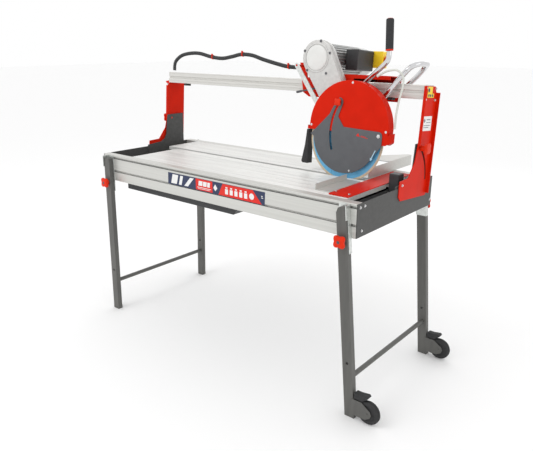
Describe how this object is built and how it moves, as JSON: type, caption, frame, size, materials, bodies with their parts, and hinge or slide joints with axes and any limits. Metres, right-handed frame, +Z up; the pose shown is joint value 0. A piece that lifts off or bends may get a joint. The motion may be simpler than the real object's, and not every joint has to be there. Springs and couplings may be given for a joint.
{
  "type": "wet tile saw",
  "caption": "Table-top wet saw on folding splayed legs: a motor head with a guarded blade slides along a tiltable bridge over a ribbed aluminium bed with a water tray.",
  "frame": {"origin": "on the floor under the middle of the overall box", "axes": "+X along the table toward the operator's end with the wheels, -Y the front, +Z up"},
  "size_m": [1.6866, 0.848, 1.4716],
  "materials": {
    "aluminium": "brushed extrusion",
    "black_plastic": "moulded",
    "blade_blue": "satin, sintered rim",
    "cast_aluminium": "cast, bead blasted",
    "chrome": "polished",
    "clear_hose": "clear tube",
    "dark_paint": "satin powder coat",
    "galvanised": "galvanised",
    "grey_plate": "satin",
    "red_paint": "gloss powder coat",
    "red_plastic": "moulded",
    "rubber": "matt",
    "yellow_plastic": "moulded"
  },
  "bodies": {
    "table_frame": {"front_beam": "aluminium", "rear_beam": "aluminium", "left_end_plate": "dark_paint", "right_end_plate": "dark_paint", "front_table": "aluminium", "rear_table": "aluminium", "water_tray": "black_plastic", "water_pump": "black_plastic", "angle_plate": "red_paint", "fence_front": "aluminium", "fence_rear": "aluminium", "left_bracket": "dark_paint", "right_bracket": "dark_paint", "hood_front_right": "galvanised", "hood_rear_right": "galvanised", "hood_front_left": "galvanised", "hood_rear_left": "galvanised"},
    "right_legs": {"leg_front_right": "dark_paint", "leg_rear_right": "dark_paint", "brace_right": "dark_paint"},
    "left_legs": {"leg_front_left": "dark_paint", "leg_rear_left": "dark_paint", "brace_left": "dark_paint"},
    "front_wheel": {"wheel_front": "rubber"},
    "rear_wheel": {"wheel_rear": "rubber"},
    "bridge": {"left_post": "red_paint", "right_post": "red_paint", "guide_rail": "aluminium", "stop_left": "rubber", "stop_right": "rubber"},
    "carriage": {"carriage": "red_paint", "push_handle": "chrome", "cable_conduit": "black_plastic"},
    "head": {"gear_case": "cast_aluminium", "case_cover": "cast_aluminium", "motor": "cast_aluminium", "terminal_box": "black_plastic", "switch_box": "yellow_plastic", "handle_tube": "chrome", "handle_grip": "rubber"},
    "stop_button": {"stop_button": "red_plastic"},
    "spindle": {"blade": "blade_blue", "blade_shaft": "galvanised", "blade_nut": "galvanised"},
    "guard": {"guard_front": "red_paint", "guard_rear": "red_paint", "splash_flap": "rubber", "water_hose": "clear_hose"},
    "shield": {"shield": "grey_plate"},
    "link": {"link_bar": "galvanised"},
    "leg_knob_front_right_body": {"leg_knob_front_right": "red_plastic"},
    "leg_knob_rear_right_body": {"leg_knob_rear_right": "red_plastic"},
    "leg_knob_front_left_body": {"leg_knob_front_left": "red_plastic"},
    "leg_knob_rear_left_body": {"leg_knob_rear_left": "red_plastic"},
    "tilt_knob_left_body": {"tilt_knob_left": "red_plastic"},
    "tilt_knob_right_body": {"tilt_knob_right": "red_plastic"},
    "roller_upper_left_body": {"roller_upper_left": "black_plastic"},
    "roller_upper_right_body": {"roller_upper_right": "black_plastic"},
    "roller_lower_left_body": {"roller_lower_left": "black_plastic"},
    "roller_lower_right_body": {"roller_lower_right": "black_plastic"}
  },
  "joints": [
    {"name": "bridge_tilt", "type": "hinge", "parent": "table_frame", "child": "bridge", "pos_m": [-0.05475, -0.03533, 0.845], "axis": [1, 0, 0], "range_deg": [0, 40]},
    {"name": "carriage_slide", "type": "slide", "parent": "bridge", "child": "carriage", "axis": [1, 0, 0], "range_m": [-0.75, 0]},
    {"name": "head_plunge", "type": "hinge", "parent": "carriage", "child": "head", "pos_m": [0.23325, 0.06831, 1.22679], "axis": [0, -0.9966, 0.0819], "range_deg": [0, 16]},
    {"name": "blade_spin", "type": "hinge", "parent": "head", "child": "spindle", "pos_m": [0.41625, -0.02246, 1.00147], "axis": [0, -0.9966, 0.0819], "continuous": true},
    {"name": "guard_level", "type": "hinge", "parent": "head", "child": "guard", "pos_m": [0.41625, 0.00345, 0.99934], "axis": [0, -0.9966, 0.0819], "range_deg": [-16, 0]},
    {"name": "link_swing", "type": "hinge", "parent": "carriage", "child": "link", "pos_m": [0.11325, 0.03162, 1.287], "axis": [0, -0.9966, 0.0819], "range_deg": [0, 16]},
    {"name": "shield_swing", "type": "hinge", "parent": "guard", "child": "shield", "pos_m": [0.57425, -0.03739, 1.02979], "axis": [0, 0.9966, -0.0819], "range_deg": [0, 45]},
    {"name": "stop_press", "type": "slide", "parent": "head", "child": "stop_button", "axis": [-1, 0, 0], "range_m": [0, 0.004], "stiffness_N_per_m": 400},
    {"name": "right_legs_fold", "type": "hinge", "parent": "table_frame", "child": "right_legs", "pos_m": [0.64325, -0.07033, 0.812], "axis": [0, 1, 0], "range_deg": [0, 58]},
    {"name": "left_legs_fold", "type": "hinge", "parent": "table_frame", "child": "left_legs", "pos_m": [-0.74735, -0.07033, 0.812], "axis": [0, -1, 0], "range_deg": [0, 58]},
    {"name": "front_wheel_spin", "type": "hinge", "parent": "right_legs", "child": "front_wheel", "pos_m": [0.79525, -0.38473, 0.0482], "axis": [0, 1, 0], "continuous": true},
    {"name": "rear_wheel_spin", "type": "hinge", "parent": "right_legs", "child": "rear_wheel", "pos_m": [0.79525, 0.24407, 0.0482], "axis": [0, 1, 0], "continuous": true},
    {"name": "leg_knob_front_right_turn", "type": "hinge", "parent": "table_frame", "child": "leg_knob_front_right_body", "pos_m": [0.65288, -0.40533, 0.708], "axis": [0, -1, 0], "continuous": true},
    {"name": "leg_knob_rear_right_turn", "type": "hinge", "parent": "table_frame", "child": "leg_knob_rear_right_body", "pos_m": [0.65288, 0.26467, 0.708], "axis": [0, 1, 0], "continuous": true},
    {"name": "leg_knob_front_left_turn", "type": "hinge", "parent": "table_frame", "child": "leg_knob_front_left_body", "pos_m": [-0.75023, -0.40533, 0.708], "axis": [0, -1, 0], "continuous": true},
    {"name": "leg_knob_rear_left_turn", "type": "hinge", "parent": "table_frame", "child": "leg_knob_rear_left_body", "pos_m": [-0.75023, 0.26467, 0.708], "axis": [0, 1, 0], "continuous": true},
    {"name": "tilt_knob_left_turn", "type": "hinge", "parent": "table_frame", "child": "tilt_knob_left_body", "pos_m": [-0.81475, 0.08575, 0.98089], "axis": [-1, 0, 0], "continuous": true},
    {"name": "tilt_knob_right_turn", "type": "hinge", "parent": "table_frame", "child": "tilt_knob_right_body", "pos_m": [0.70525, 0.08575, 0.98089], "axis": [1, 0, 0], "continuous": true},
    {"name": "roller_upper_left_roll", "type": "hinge", "parent": "carriage", "child": "roller_upper_left_body", "pos_m": [0.32525, 0.13206, 1.23339], "axis": [0, 0.9966, -0.0819], "range_deg": [-4528.7, 0]},
    {"name": "roller_upper_right_roll", "type": "hinge", "parent": "carriage", "child": "roller_upper_right_body", "pos_m": [0.42525, 0.13206, 1.23339], "axis": [0, 0.9966, -0.0819], "range_deg": [-4528.7, 0]},
    {"name": "roller_lower_left_roll", "type": "hinge", "parent": "carriage", "child": "roller_lower_left_body", "pos_m": [0.32525, 0.12587, 1.15804], "axis": [0, 0.9966, -0.0819], "range_deg": [0, 4528.7]},
    {"name": "roller_lower_right_roll", "type": "hinge", "parent": "carriage", "child": "roller_lower_right_body", "pos_m": [0.42525, 0.12587, 1.15804], "axis": [0, 0.9966, -0.0819], "range_deg": [0, 4528.7]}
  ],
  "couplings": [
    {"joint": "guard_level", "follows": "head_plunge", "ratio": -1},
    {"joint": "link_swing", "follows": "head_plunge", "ratio": 1},
    {"joint": "roller_upper_left_roll", "follows": "carriage_slide", "rad_per_m": 105.26},
    {"joint": "roller_upper_right_roll", "follows": "carriage_slide", "rad_per_m": 105.26},
    {"joint": "roller_lower_left_roll", "follows": "carriage_slide", "rad_per_m": -105.26},
    {"joint": "roller_lower_right_roll", "follows": "carriage_slide", "rad_per_m": -105.26}
  ]
}
